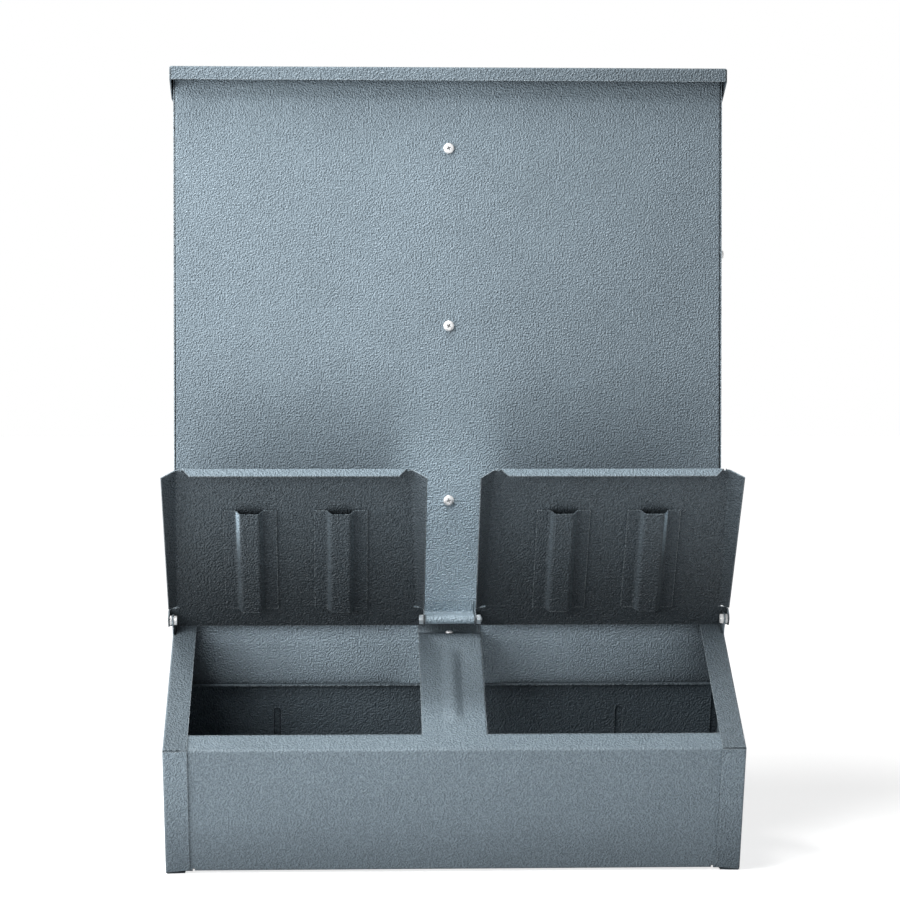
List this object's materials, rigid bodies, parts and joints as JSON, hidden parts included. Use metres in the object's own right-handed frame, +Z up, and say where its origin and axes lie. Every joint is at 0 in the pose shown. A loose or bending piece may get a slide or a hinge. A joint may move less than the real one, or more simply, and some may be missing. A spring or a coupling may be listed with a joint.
{
  "type": "hog feeder",
  "caption": "Two-door hog feeder in painted sheet steel: a roofed feed hopper over a trough with two flip lids and a sliding feed gate.",
  "frame": {"origin": "on the ground, under the middle of the feeder's outer box", "axes": "+Z up, -Y towards the front with the trough, +X to the right as seen from the front"},
  "size_m": [0.6126, 0.4297, 0.854],
  "materials": {
    "painted_steel": "hammered enamel",
    "zinc_steel": "zinc plated"
  },
  "bodies": {
    "feeder": {"left_side_panel": "painted_steel", "right_side_panel": "painted_steel", "front_panel": "painted_steel", "back_panel": "painted_steel", "trough_front": "painted_steel", "feed_ramp": "painted_steel", "centre_post": "painted_steel", "hinge_knuckle": "painted_steel", "lower_front_screw": "zinc_steel", "middle_front_screw": "zinc_steel", "upper_front_screw": "zinc_steel", "lower_front_nut": "zinc_steel", "middle_front_nut": "zinc_steel", "upper_front_nut": "zinc_steel", "side_screw": "zinc_steel", "side_screw_nut": "zinc_steel", "strip_screw": "zinc_steel", "strip_screw_nut": "zinc_steel", "hinge_bolt": "zinc_steel", "hinge_lock_nut": "zinc_steel", "left_pivot_bolt": "zinc_steel", "right_pivot_bolt": "zinc_steel", "left_pivot_nut": "zinc_steel", "right_pivot_nut": "zinc_steel", "left_roof_screw": "zinc_steel", "right_roof_screw": "zinc_steel", "left_roof_nut": "zinc_steel", "right_roof_nut": "zinc_steel", "left_gate_bolt": "zinc_steel", "right_gate_bolt": "zinc_steel", "left_gate_washer": "zinc_steel", "right_gate_washer": "zinc_steel"},
    "roof": {"roof_lid": "painted_steel"},
    "left_door": {"left_lid": "painted_steel", "left_lid_stiffener_inner": "painted_steel", "left_lid_stiffener_outer": "painted_steel"},
    "right_door": {"right_lid": "painted_steel", "right_lid_stiffener_inner": "painted_steel", "right_lid_stiffener_outer": "painted_steel"},
    "gate": {"feed_gate": "painted_steel"},
    "left_wing": {"left_wing_nut": "zinc_steel"},
    "right_wing": {"right_wing_nut": "zinc_steel"}
  },
  "joints": [
    {"name": "roof_hinge", "type": "hinge", "parent": "feeder", "child": "roof", "pos_m": [0, 0.2012, 0.8368], "axis": [-1, 0, 0], "range_deg": [0, 115]},
    {"name": "left_lid_hinge", "type": "hinge", "parent": "feeder", "child": "left_door", "pos_m": [-0.165, -0.053, 0.25463], "axis": [1, 0, 0], "range_deg": [0, 89.5]},
    {"name": "right_lid_hinge", "type": "hinge", "parent": "feeder", "child": "right_door", "pos_m": [0.165, -0.053, 0.25463], "axis": [1, 0, 0], "range_deg": [0, 89.5]},
    {"name": "gate_slide", "type": "slide", "parent": "feeder", "child": "gate", "axis": [0, 0.342, -0.9397], "range_m": [0, 0.026]},
    {"name": "left_wing_turn", "type": "hinge", "parent": "feeder", "child": "left_wing", "pos_m": [-0.188, 0.00287, 0.10641], "axis": [0, -0.9397, -0.342], "continuous": true},
    {"name": "right_wing_turn", "type": "hinge", "parent": "feeder", "child": "right_wing", "pos_m": [0.188, 0.00287, 0.10641], "axis": [0, -0.9397, -0.342], "continuous": true}
  ]
}
